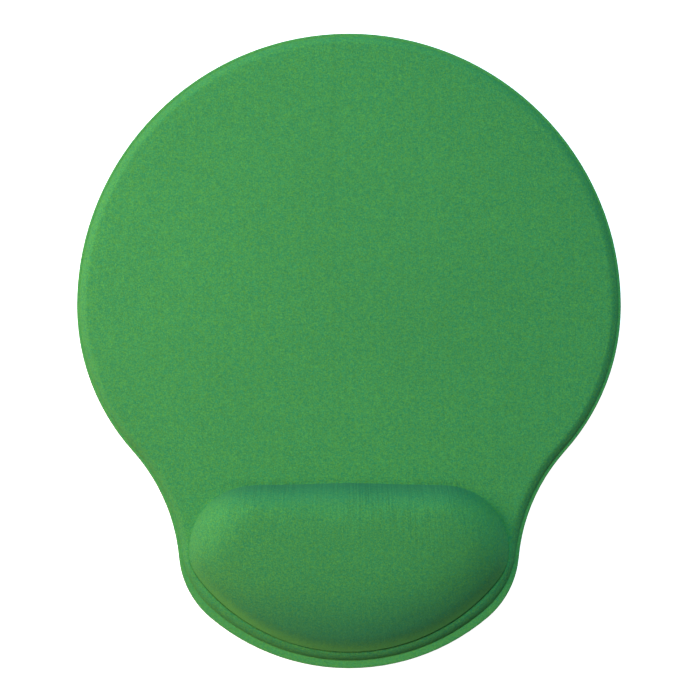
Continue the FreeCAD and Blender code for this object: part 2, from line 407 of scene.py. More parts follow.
def new_group(
    name: str, inputs: dict[str, float | None], outputs: Sequence[str]
) -> tuple[Wiring, bpy.types.bpy_prop_collection, bpy.types.bpy_prop_collection]:
    """Starts a shader group that gives numbers.

    Args:
        name: The group's name.
        inputs: Each input's name and its default, which only Vector does without.
        outputs: Each output's name.

    Returns:
        The group's wiring, what it is given and what it makes.
    """
    group = bpy.data.node_groups.new(name, "ShaderNodeTree")
    for title, default in inputs.items():
        kind = "NodeSocketVector" if default is None else "NodeSocketFloat"
        socket = group.interface.new_socket(title, in_out="INPUT", socket_type=kind)
        if default is not None:
            socket.default_value = default
    for title in outputs:
        group.interface.new_socket(title, in_out="OUTPUT", socket_type="NodeSocketFloat")
    given = group.nodes.new("NodeGroupInput").outputs
    made = group.nodes.new("NodeGroupOutput").inputs
    return Wiring(group), given, made


def make_mottle_group() -> bpy.types.ShaderNodeTree:
    """Speckles of a fine and a coarse size, for fibres, foam skin and rubber.

    Returns:
        A group that gives a speckle from 0 to 1 and a slower drift from 0 to 1.
    """
    fine_share = 0.45
    speckle_zone = (0.32, 0.68)
    drift_zone = (0.3, 0.7)
    inputs = {"Vector": None, "Fine Scale": 1500.0, "Coarse Scale": 600.0, "Drift Scale": 14.0}
    wire, given, made = new_group("mottle", inputs, ["Speckle", "Drift"])
    fine = wire.noise(given["Vector"], given["Fine Scale"], detail=2.0, rough=0.6)
    coarse = wire.noise(given["Vector"], given["Coarse Scale"], detail=3.0, rough=0.65)
    both = wire.plus(wire.times(fine, fine_share), wire.times(coarse, 1 - fine_share))
    wire.join(wire.fit(both, *speckle_zone), made["Speckle"])
    drift = wire.noise(given["Vector"], given["Drift Scale"], detail=3.0)
    wire.join(wire.fit(drift, *drift_zone), made["Drift"])
    return wire.tree


def make_knit_group() -> bpy.types.ShaderNodeTree:
    """Columns and rows of knitted loops, seen from above.

    Returns:
        A group that gives the loops' height and a mask of the gaps between them.
    """
    wander_scale = 320.0
    loop_lean = 0.22
    gap_height = 0.35
    inputs = {"Vector": None, "Column Pitch": 0.45 * MM, "Row Pitch": 0.38 * MM, "Unevenness": 0.35}
    wire, given, made = new_group("knit", inputs, ["Height", "Gap"])
    flat = wire.put("SeparateXYZ", Vector=given["Vector"]).outputs
    wander = wire.calc("SUBTRACT", wire.noise(given["Vector"], wander_scale, detail=2.0), 0.5)
    shift = wire.times(wander, given["Unevenness"])
    columns = wire.plus(wire.calc("DIVIDE", flat["X"], given["Column Pitch"]), shift)
    column_turn = wire.times(columns, 2 * math.pi)
    column = wire.calc("ABSOLUTE", wire.calc("SINE", wire.times(column_turn, 0.5)))
    lean = wire.times(wire.calc("COSINE", column_turn), loop_lean)
    rows = wire.plus(wire.calc("DIVIDE", flat["Y"], given["Row Pitch"]), lean)
    row_turn = wire.times(wire.plus(rows, shift), 2 * math.pi)
    row = wire.times(wire.plus(wire.calc("SINE", row_turn), 1.0), 0.5)
    height = wire.times(column, wire.plus(wire.times(row, 0.5), 0.5))
    wire.join(height, made["Height"])
    wire.join(wire.fit(height, gap_height, 0.0), made["Gap"])
    return wire.tree


def make_pull_group() -> bpy.types.ShaderNodeTree:
    """Fine lines where the knit is pulled over the cushion, and the faint mark of an old fold.

    Returns:
        A group that gives the pull lines, where they show, and the fold, each from 0 to 1.
    """
    fan_out = 2.5
    lines_across = 1500.0
    lines_along = 70.0
    line_zone = (0.35, 0.65)
    side_zone = (1.0, 0.8)
    patch_scale = 30.0
    patch_zone = (0.4, 0.6)
    patch_span = (0.6, 1.0)
    back_fade = 2 * MM
    fold_width = 1.4 * MM
    fold_fade = 40 * MM
    inputs = {
        "Vector": None, "Back": -51 * MM, "Front": -80 * MM, "Half Width": 52 * MM,
        "Fold Place": -9 * MM, "Fold Slant": 0.03, "Fold Start": 15 * MM,
    }
    wire, given, made = new_group("pull lines", inputs, ["Pull", "Fold"])
    flat = wire.put("SeparateXYZ", Vector=given["Vector"]).outputs
    fan = wire.times(flat["X"], flat["Y"], fan_out)
    across = wire.times(wire.plus(flat["X"], fan), lines_across)
    along = wire.times(flat["Y"], lines_along)
    stretched = wire.put("CombineXYZ", X=across, Y=along, Z=0.0).outputs[0]
    lines = wire.fit(wire.noise(stretched, 1.0, detail=2.0), *line_zone)
    behind = wire.fit(flat["Y"], given["Front"], given["Back"])
    before = wire.fit(flat["Y"], wire.plus(given["Back"], back_fade), given["Back"])
    aside = wire.calc("DIVIDE", wire.calc("ABSOLUTE", flat["X"]), given["Half Width"])
    where = wire.times(behind, before, wire.fit(aside, *side_zone))
    patches = wire.fit(wire.noise(given["Vector"], patch_scale, detail=1.0), *patch_zone, *patch_span)
    wire.join(wire.times(lines, where, patches), made["Pull"])
    slanted = wire.plus(given["Fold Place"], wire.times(flat["Y"], given["Fold Slant"]))
    line = wire.fit(wire.calc("ABSOLUTE", wire.calc("SUBTRACT", flat["X"], slanted)), fold_width, 0.0)
    starts = wire.fit(flat["Y"], given["Fold Start"], wire.plus(given["Fold Start"], fold_fade))
    wire.join(wire.times(line, starts), made["Fold"])
    return wire.tree


MOTTLE = make_mottle_group()
KNIT = make_knit_group()
PULL = make_pull_group()


# ---- finishes


@dataclass
class Dressing:
    """A material under way: its wiring, its principled shader and its Object coordinates."""

    material: bpy.types.Material
    wire: Wiring
    shader: bpy.types.Node
    place: bpy.types.NodeSocket

    @classmethod
    def begin(cls, name: str, roughness: float, specular: float) -> "Dressing":
        """Starts a material.

        Args:
            name: The material's name.
            roughness: The shader's roughness.
            specular: The shader's specular level.

        Returns:
            The material's parts.
        """
        material = bpy.data.materials.new(name)
        material.use_nodes = True
        wire = Wiring(material.node_tree)
        shader = material.node_tree.nodes["Principled BSDF"]
        dress = cls(material, wire, shader, wire.put("TexCoord").outputs["Object"])
        dress.feed(Roughness=roughness, Specular_IOR_Level=specular)
        return dress

    def feed(self, **inputs: object) -> None:
        """Sets or links the shader's inputs, by name with _ for a space."""
        self.wire.feed(self.shader, inputs)

    def group(self, tree: bpy.types.ShaderNodeTree, **inputs: object) -> bpy.types.bpy_prop_collection:
        """Places a shared group that reads the Object coordinates, and gives its outputs."""
        node = self.wire.put("Group", {"node_tree": tree}, Vector=self.place, **inputs)
        return node.outputs

    def mottle(self, scales: Sequence[float]) -> bpy.types.bpy_prop_collection:
        """Places the mottle with its fine, coarse and drift scales, and gives its outputs."""
        fine, coarse, drift = scales
        return self.group(MOTTLE, Fine_Scale=fine, Coarse_Scale=coarse, Drift_Scale=drift)

    def bump(self, height: bpy.types.NodeSocket, distance: float, strength: float) -> None:
        """Feeds a height to the shader's normal."""
        node = self.wire.put("Bump", Height=height, Distance=distance, Strength=strength)
        self.feed(Normal=node.outputs["Normal"])


def rgb(red: float, green: float, blue: float) -> tuple[float, float, float, float]:
    """A linear colour with full alpha."""
    return (red, green, blue, 1.0)


@dataclass(frozen=True)
class KnitFinish:
    """Green stretch knit: matt loops, a mottled dye, a soft bloom at grazing angles, painted light on the lip
    and the cushion's front foot, and painted shade on the cushion's steep back and front slope.

    A span is the range that a mask from 0 to 1 is spread over. A zone is the two places between which
    a tone fades in.
    """

    body_colour: tuple = rgb(0.058, 0.272, 0.067)
    yellow_thread: tuple = rgb(0.112, 0.330, 0.046)
    blue_thread: tuple = rgb(0.020, 0.219, 0.101)
    gap_colour: tuple = rgb(0.023, 0.149, 0.040)
    # Painted light: a paler, warmer green laid on the lip and the cushion's front foot, where light falls
    # brighter and bounces.
    painted_light_colour: tuple = rgb(0.130, 0.375, 0.070)
    # Painted shade: a darker, cooler green laid on the cushion's steep back and on its front slope.
    painted_shade_colour: tuple = rgb(0.012, 0.165, 0.100)
    mottle_share: float = 0.8
    gap_share: float = 0.45
    # Shares of the painted light on the lip and front foot and of the painted shade on the cushion's steep
    # back and front slope.
    painted_light_share: float = 0.62
    lip_light_share: float = 0.45
    back_shade_share: float = 0.52
    slope_shade_share: float = 0.34
    roughness: float = 0.92
    specular: float = 0.25
    bloom: float = 0.05
    bloom_roughness: float = 0.5
    bloom_tint: tuple = rgb(0.5, 1.0, 0.6)
    speckle_scales: tuple = (2600.0, 1500.0, 16.0)
    hue_scales: tuple = (2000.0, 1000.0, 40.0)
    grain_span: tuple = (0.71, 1.30)
    pull_span: tuple = (1.03, 0.75)
    fold_span: tuple = (1.0, 0.95)
    drift_span: tuple = (0.97, 1.03)
    speckle_relief: float = 0.9
    pull_relief: float = 1.2
    relief: float = 0.12 * MM
    relief_strength: float = 0.75
    # Zones of the painted light on the lip and front foot, and of the painted shade on the cushion's steep
    # back and front slope.
    lip_zone: tuple = (2.2 * MM, 1.85 * MM)
    wall_zone: tuple = (4.55 * MM, 5.3 * MM)
    foot_zone: tuple = (9.5 * MM, 6.0 * MM)
    front_zone: tuple = (-80 * MM, -98 * MM)
    back_zone: tuple = (-60 * MM, -51.5 * MM)
    slope_zone: tuple = (-88 * MM, -110 * MM)
    high_zone: tuple = (7.0 * MM, 10.0 * MM)

    def material(self) -> bpy.types.Material:
        """Makes the cover's material.

        Returns:
            The material.
        """
        dress = Dressing.begin("green_knit", self.roughness, self.specular)
        dress.feed(
            Sheen_Weight=self.bloom, Sheen_Roughness=self.bloom_roughness, Sheen_Tint=self.bloom_tint
        )
        wire = dress.wire
        speckle = dress.mottle(self.speckle_scales)
        hue = dress.mottle(self.hue_scales)
        knit = dress.group(KNIT)
        worn = dress.group(PULL)
        threads = wire.mix(hue["Speckle"], self.blue_thread, self.yellow_thread)
        dyed = wire.mix(self.mottle_share, self.body_colour, threads)
        grain = wire.spread(speckle["Speckle"], self.grain_span)
        pulled = wire.spread(worn["Pull"], self.pull_span)
        folded = wire.spread(worn["Fold"], self.fold_span)
        shaded = wire.shade(dyed, wire.times(pulled, folded, grain))
        drifted = wire.shade(shaded, wire.spread(speckle["Drift"], self.drift_span))
        woven = wire.mix(wire.times(knit["Gap"], self.gap_share), drifted, self.gap_colour)
        # The first mask is painted light on the lip and front foot; the second is painted shade on the
        # cushion's steep back and front slope.
        pale, stretched = self.painted_light_and_shade(dress)
        with_painted_light = wire.mix(wire.times(pale, self.painted_light_share), woven, self.painted_light_colour)
        dress.feed(Base_Color=wire.mix(stretched, with_painted_light, self.painted_shade_colour))
        relief = wire.plus(knit["Height"], wire.times(speckle["Speckle"], self.speckle_relief))
        relief = wire.calc("SUBTRACT", relief, wire.times(worn["Pull"], self.pull_relief))
        dress.bump(relief, self.relief, self.relief_strength)
        return dress.material

    def painted_light_and_shade(self, dress: Dressing) -> tuple[bpy.types.NodeSocket, bpy.types.NodeSocket]:
        """Where the knit's colour is painted paler for light on the lip and the cushion's front foot, and
        darker for shade on the cushion's steep back and front slope.

        Args:
            dress: The material under way.

        Returns:
            A mask of painted light on the lip and the cushion's front foot, and one of painted shade on the
            cushion's steep back and its front slope.
        """
        wire = dress.wire
        flat = wire.put("SeparateXYZ", Vector=dress.place).outputs
        # Painted light: the low lip and the front foot of the cushion are made paler.
        lip = wire.times(wire.fit(flat["Z"], *self.lip_zone), self.lip_light_share)
        wall = wire.fit(flat["Z"], *self.wall_zone)
        foot = wire.times(wall, wire.fit(flat["Z"], *self.foot_zone), wire.fit(flat["Y"], *self.front_zone))
        # Painted shade: the cushion's steep back and the upper part of its front slope are made darker and
        # cooler.
        back = wire.times(wire.fit(flat["Y"], *self.back_zone), self.back_shade_share, wall)
        slope = wire.times(wire.fit(flat["Y"], *self.slope_zone), self.slope_shade_share)
        return wire.plus(lip, foot), wire.plus(back, wire.times(slope, wire.fit(flat["Z"], *self.high_zone)))


@dataclass(frozen=True)
class MottledFinish:
    """A material of two mottled colours, with an uneven roughness and a fine relief.

    The names in the by fields are the mottle's outputs that place the second colour, the roughness and
    the relief.
    """

    name: str
    colour: tuple
    second: tuple
    scales: tuple
    roughness: float
    roughness_span: tuple
    relief: float
    relief_strength: float
    second_by: tuple = ("Drift",)
    second_share: float = 1.0
    roughness_by: str = "Speckle"
    relief_by: str = "Speckle"
    specular: float = 0.5
    scatter: float = 0.0
    scatter_depth: float = 4 * MM

    def material(self) -> bpy.types.Material:
        """Makes the material.

        Returns:
            The material.
        """
        dress = Dressing.begin(self.name, self.roughness, self.specular)
        if self.scatter > 0.0:
            dress.feed(Subsurface_Weight=self.scatter, Subsurface_Scale=self.scatter_depth)
        mottle = dress.mottle(self.scales)
        share = dress.wire.times(*(mottle[title] for title in self.second_by), self.second_share)
        dress.feed(
            Base_Color=dress.wire.mix(share, self.colour, self.second),
            Roughness=dress.wire.spread(mottle[self.roughness_by], self.roughness_span),
        )
        dress.bump(mottle[self.relief_by], self.relief, self.relief_strength)
        return dress.material


# Matt black, with a little dust in its low places.
RUBBER = MottledFinish(
    name="black_rubber", colour=rgb(0.018, 0.018, 0.019), second=rgb(0.075, 0.073, 0.070),
    second_by=("Drift", "Speckle"), second_share=0.45, scales=(3200.0, 1400.0, 30.0), specular=0.4,
    roughness=0.78, roughness_span=(0.70, 0.88), relief=0.08 * MM, relief_strength=0.6,
)
# Soft clear plastic with a faint haze.
FILM = MottledFinish(
    name="pouch_film", colour=rgb(0.74, 0.80, 0.78), second=rgb(0.60, 0.66, 0.64), second_share=0.6,
    scales=(900.0, 260.0, 45.0), roughness=0.22, roughness_span=(0.16, 0.34),
    relief_by="Drift", relief=0.15 * MM, relief_strength=0.4,
)
# Pale and a little cloudy, with light scattered below its surface.
GEL = MottledFinish(
    name="pale_gel", colour=rgb(0.52, 0.70, 0.68), second=rgb(0.40, 0.60, 0.60), scatter=0.5,
    scales=(400.0, 120.0, 35.0), roughness=0.28, roughness_span=(0.22, 0.40),
    relief=0.1 * MM, relief_strength=0.3,
)
# Cream hot-melt film with a pebbled skin.
GLUE = MottledFinish(
    name="hot_melt_film", colour=rgb(0.74, 0.70, 0.56), second=rgb(0.58, 0.53, 0.40),
    second_by=("Speckle",), scales=(1100.0, 420.0, 25.0), roughness=0.45, roughness_span=(0.38, 0.58),
    roughness_by="Drift", relief=0.08 * MM, relief_strength=0.6,
)


@dataclass(frozen=True)
class FoamFinish:
    """Dark closed-cell foam: small round cells of uneven shade."""

    wall_colour: tuple = rgb(0.060, 0.060, 0.064)
    cell_colour: tuple = rgb(0.022, 0.022, 0.024)
    cell_scale: float = 1300.0
    cell_zone: tuple = (0.15, 0.6)
    tone_scales: tuple = (1800.0, 700.0, 20.0)
    tone_share: float = 0.4
    relief: float = 0.1 * MM

    def material(self) -> bpy.types.Material:
        """Makes the foam sheet's material.

        Returns:
            The material.
        """
        dress = Dressing.begin("dark_foam", roughness=0.95, specular=0.25)
        wire = dress.wire
        cells = wire.put("TexVoronoi", Vector=dress.place, Scale=self.cell_scale).outputs["Distance"]
        mask = wire.fit(cells, *self.cell_zone)
        share = wire.times(dress.mottle(self.tone_scales)["Drift"], self.tone_share)
        toned = wire.mix(share, self.cell_colour, self.wall_colour)
        dress.feed(Base_Color=wire.mix(mask, toned, self.wall_colour))
        dress.bump(mask, self.relief, strength=0.7)
        return dress.material


@dataclass(frozen=True)
class FloorFinish:
    """A plain pale studio floor that looks white to the camera."""

    colour: tuple = rgb(0.90, 0.90, 0.90)
    drift_colour: tuple = rgb(0.86, 0.86, 0.86)
    drift_scales: tuple = (700.0, 200.0, 3.0)
    drift_share: float = 0.02
    glow: float = 1.0

    def material(self) -> bpy.types.Material:
        """Makes the floor's material.

        Returns:
            The material.
        """
        dress = Dressing.begin("pale_floor", roughness=0.9, specular=0.2)
        share = dress.wire.times(dress.mottle(self.drift_scales)["Drift"], self.drift_share)
        dress.feed(
            Base_Color=dress.wire.mix(share, self.colour, self.drift_colour),
            Emission_Color=dress.wire.put("LightPath").outputs["Is Camera Ray"],
            Emission_Strength=self.glow,
        )
        return dress.material


# ---- the cushion's filling


@dataclass
class GelPad:
    """The gel, blown up against its pouch by a cloth simulation."""

    layers: Layers
    voxel: float = 2.6 * MM
    slack: float = 0.96
    weld: float = 0.01 * MM
    pressure: float = 4.0
    stiffness: float = 12.0
    bending: float = 0.4
    quality: int = 5
    frames: int = 20
    furthest: float = 1.6 * MM

    def build(self) -> bpy.types.Object:
        """Makes the filled pad, with the simulation applied and one subdivision.

        Returns:
            The pad.
        """
        pad = self.slack_copy()
        self.inflate(pad)
        finer = pad.modifiers.new("finer", "SUBSURF")
        finer.levels = 1
        finer.render_levels = 1
        apply_modifiers(pad)
        pad.data.shade_smooth()
        return pad

    def slack_copy(self) -> bpy.types.Object:
        """A remeshed copy of the frame's gel, pressed a little lower than its pouch allows.

        Returns:
            The copy, before it is blown up.
        """
        shape = bmesh.new()
        shape.from_mesh(frame["nodes"]["gel_core"].data)
        bmesh.ops.remove_doubles(shape, verts=shape.verts, dist=self.weld)
        mesh = bpy.data.meshes.new("gel_pad")
        shape.to_mesh(mesh)
        shape.free()
        pad = bpy.data.objects.new("gel_pad", mesh)
        bpy.context.scene.collection.objects.link(pad)
        remesh = pad.modifiers.new("even", "REMESH")
        remesh.mode = "VOXEL"
        remesh.voxel_size = self.voxel
        apply_modifiers(pad)
        keep = self.slack
        floor = self.layers.gel_floor
        for vertex in pad.data.vertices:
            vertex.co.z = floor + max(0.0, vertex.co.z - floor) * keep
        return pad

    def inflate(self, pad: bpy.types.Object) -> None:
        """Blows the pad up with its underside held, and caps how far any point moves.

        Args:
            pad: The pad, whose mesh is replaced.
        """
        rest = np.array([vertex.co for vertex in pad.data.vertices])
        held = pad.vertex_groups.new(name="held")
        low = np.flatnonzero(rest[:, 2] < self.layers.gel_floor + self.voxel).tolist()
        held.add(low, 1.0, "REPLACE")
        cloth = pad.modifiers.new("swell", "CLOTH")
        cloth.settings.vertex_group_mass = "held"
        cloth.settings.use_pressure = True
        cloth.settings.uniform_pressure_force = self.pressure
        cloth.settings.effector_weights.gravity = 0.0
        cloth.settings.quality = self.quality
        cloth.settings.tension_stiffness = self.stiffness
        cloth.settings.compression_stiffness = self.stiffness
        cloth.settings.bending_stiffness = self.bending
        scene = bpy.context.scene
        for step in range(1, self.frames + 1):
            scene.frame_set(step)
        apply_modifiers(pad)
        scene.frame_set(1)
        swollen = np.array([vertex.co for vertex in pad.data.vertices])
        moved = swollen - rest
        length = np.linalg.norm(moved, axis=1, keepdims=True)
        share = np.minimum(1.0, self.furthest / np.maximum(length, TINY))
        pad.data.vertices.foreach_set("co", (rest + moved * share).astype(np.float32).ravel())
        log.info("gel swell: largest %.2f mm", float(length.max()) / MM)


@dataclass
class Crown:
    """The pad's surface, sampled along the spokes so that every skin can follow it."""

    spokes: Spokes
    layers: Layers
    levels: int = 44
    crowding: float = 1.75
    foot_levels: int = 16
    foot_passes: int = 24
    passes: int = 5
    welded: float = 2.0 * MM
    free: float = 9.0 * MM
    above: float = 10 * MM
    least_step: float = 0.02 * MM
    points: np.ndarray | None = None
    outward: np.ndarray | None = None

    def sample(self, pad: bpy.types.Object, foot: np.ndarray) -> "Crown":
        """Meets the pad from above along every spoke, from its foot to the pole, and keeps the points.

        Args:
            pad: The filled pad.
            foot: Distances from the pole to the pad's foot.

        Returns:
            This crown.
        """
        share = (np.arange(self.levels) / self.levels) ** self.crowding
        moulded = self.heights(tree_of(frame["nodes"]["gel_core"].data), foot, share)
        filled = self.heights(tree_of(pad.data), foot, share)
        inside = smooth_step(np.outer(share, foot), self.welded, self.free)
        heights = self.evened(moulded + (filled - moulded) * inside)
        rings = [self.spokes.ring(foot * (1 - share[level]), heights[level]) for level in range(self.levels)]
        self.points = np.stack(rings)
        self.outward = self.directions(self.points)
        return self

    def heights(self, tree: BVHTree, foot: np.ndarray, share: np.ndarray) -> np.ndarray:
        """Heights of a domed surface on every ring.

        Args:
            tree: The surface.
            foot: Distances from the pole to the surface's foot.
            share: How far in each ring lies: 0 at the foot and 1 at the pole.

        Returns:
            One row for each ring.
        """
        found = np.full((self.levels, self.spokes.count), self.layers.gel_floor)
        for level in range(1, self.levels):
            starts = self.spokes.ring(foot * (1 - share[level]), self.layers.crown + self.above)
            for place, start in enumerate(starts):
                hit = tree.ray_cast(Vector(start), DOWN)[0]
                if hit:
                    found[level, place] = hit.z
        return found

    def evened(self, grid: np.ndarray) -> np.ndarray:
        """Evens a grid of levels by spokes between neighbouring spokes, most of all near the foot.

        Args:
            grid: One row for each level and one column for each spoke.

        Returns:
            The evened grid.
        """
        for turn in range(self.foot_passes):
            last = self.levels if turn < self.passes else self.foot_levels
            near = grid[:last]
            grid[:last] = near * 0.5 + (np.roll(near, 1, axis=1) + np.roll(near, -1, axis=1)) * 0.25
        return grid

    @staticmethod
    def directions(points: np.ndarray) -> np.ndarray:
        """Unit outward directions of a grid of points.

        Args:
            points: A point for each level and spoke.

        Returns:
            A unit vector for each point.
        """
        along = np.gradient(points, axis=0)
        around = np.roll(points, -1, axis=1) - np.roll(points, 1, axis=1)
        outward = np.cross(around, along)
        return outward / np.maximum(np.linalg.norm(outward, axis=2, keepdims=True), TINY)

    def skin(self, offset: float, sheet_height: float, flare: float | np.ndarray) -> list[np.ndarray]:
        """Rings of a skin that lies on the pad and flares out onto its sheet.

        Args:
            offset: How far the skin's outside lies from the gel.
            sheet_height: The height of the flat sheet that the skin runs into.
            flare: The size of the hollow flare at the foot, or one size for each spoke.

        Returns:
            Rings from the foot to next to the pole.
        """
        moved = self.points + self.outward * offset
        reach = np.hypot(moved[:, :, 0] - self.spokes.pole.x, moved[:, :, 1] - self.spokes.pole.y)
        reach = self.evened(reach)
        rings = []
        for level in range(1, self.levels):
            if rings:
                reach[level] = np.minimum(reach[level], reach[level - 1] - self.least_step)
            height = soft_max(moved[level, :, 2], sheet_height, flare)
            rings.append(self.spokes.ring(reach[level], height))
        return rings


# ---- the pieces


@dataclass(frozen=True)
class Plan:
    """The outlines that every sheet follows, as distances from the pole along the spokes."""

    spokes: Spokes
    outline: np.ndarray
    foam: np.ndarray
    foot: np.ndarray

    @classmethod
    def from_frame(cls, spokes: Spokes, layers: Layers) -> "Plan":
        """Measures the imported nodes' walls along the spokes, the foam's below its rounded edge.

        Args:
            spokes: The directions to measure along.
            layers: The stack's heights.

        Returns:
            The outlines.
        """
        below_round = 0.4 * MM
        return cls(
            spokes=spokes,
            outline=spokes.wall("base_sheet", layers.base_top / 2),
            foam=spokes.wall("mat_foam", (layers.foam_bottom + layers.foam_top) / 2 - below_round),
            foot=spokes.wall("pouch_upper_film", layers.foam_top - layers.film / 2),
        )

    def inset(self, distance: np.ndarray, inset: float | np.ndarray, height: float) -> np.ndarray:
        """A ring at a height, moved inwards square to its wall.

        Args:
            distance: The ring's distances from the pole.
            inset: How far it is moved.
            height: The new ring's height.

        Returns:
            One point for each spoke.
        """
        return self.spokes.ring(self.beyond(distance, -np.asarray(inset)), height)

    def insets(self, distance: np.ndarray, *steps: tuple) -> list[np.ndarray]:
        """Rings inside a wall, each given by how far inside it lies and by its height."""
        return [self.inset(distance, inset, height) for inset, height in steps]

    def beyond(self, distance: np.ndarray, offset: float | np.ndarray) -> np.ndarray:
        """A wall's distances from the pole, moved outwards square to the wall.

        Args:
            distance: The wall's distances from the pole.
            offset: How far it is moved.

        Returns:
            The new distances.
        """
        least_facing = 0.3
        ring = self.spokes.ring(distance, 0.0)
        along = (np.roll(ring, -2, axis=0) - np.roll(ring, 2, axis=0))[:, :2]
        along /= np.linalg.norm(along, axis=1, keepdims=True)
        facing = np.abs(np.cross(along, self.spokes.directions))
        return distance + offset / np.maximum(facing, least_facing)

    @property
    def gel_foot(self) -> np.ndarray:
        """Distances from the pole to the gel's foot, inside the pouch's welded rim."""
        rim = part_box("pouch_lower_film")[1].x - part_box("gel_core")[1].x
        return self.beyond(self.foot, -rim)

    @property
    def area(self) -> float:
        """The outline's area."""
        ring = self.spokes.ring(self.outline, 0.0)[:, :2]
        return float(abs(np.sum(np.cross(ring, np.roll(ring, -1, axis=0)))) / 2)


def between(first: np.ndarray, last: np.ndarray, count: int) -> list[np.ndarray]:
    """Evenly spaced rings strictly between two rings."""
    return [first + (last - first) * (place / (count + 1)) for place in range(1, count + 1)]


def waved(ring: np.ndarray, height: float, across: tuple, along: tuple) -> np.ndarray:
    """A ring with the slight waviness of a glued or sliced sheet.

    Args:
        ring: The flat ring.
        height: The waves' height.
        across: The waves' rate and start along x.
        along: The waves' rate and start along y.

    Returns:
        The waved ring.
    """
    moved = ring.copy()
    crests = np.sin(ring[:, 0] * across[0] + across[1]) * np.sin(ring[:, 1] * along[0] + along[1])
    moved[:, 2] += height * crests
    return moved


@dataclass(frozen=True)
class RolledEdge:
    """How a sheet comes down over the foam's edge."""

    width: float = 3.3 * MM
    least_width: float = 0.8 * MM
    clearance: float = 0.35 * MM
    steps: int = 11
    crowding: float = 0.9
    fullness: float = 1.6
    steepness: float = 1.25

    def rings(self, plan: Plan, wall: np.ndarray, low: float, high: float) -> list[np.ndarray]:
        """Rings from the foot of the edge up to the flat sheet.

        Args:
            plan: The outlines.
            wall: The edge's outside, as distances from the pole.
            low: Height at the edge's foot.
            high: Height of the flat sheet.

        Returns:
            The rings, outermost first.
        """
        room = np.clip(wall - plan.foot - self.clearance, self.least_width, None)
        width = np.minimum(self.width, room)
        rings = []
        for place in range(self.steps + 1):
            out = 1 - (place / self.steps) ** self.crowding
            rise = (1 - out ** self.fullness) ** (1 / self.steepness)
            rings.append(plan.inset(wall, width * (1 - out), low + (high - low) * rise))
        return rings


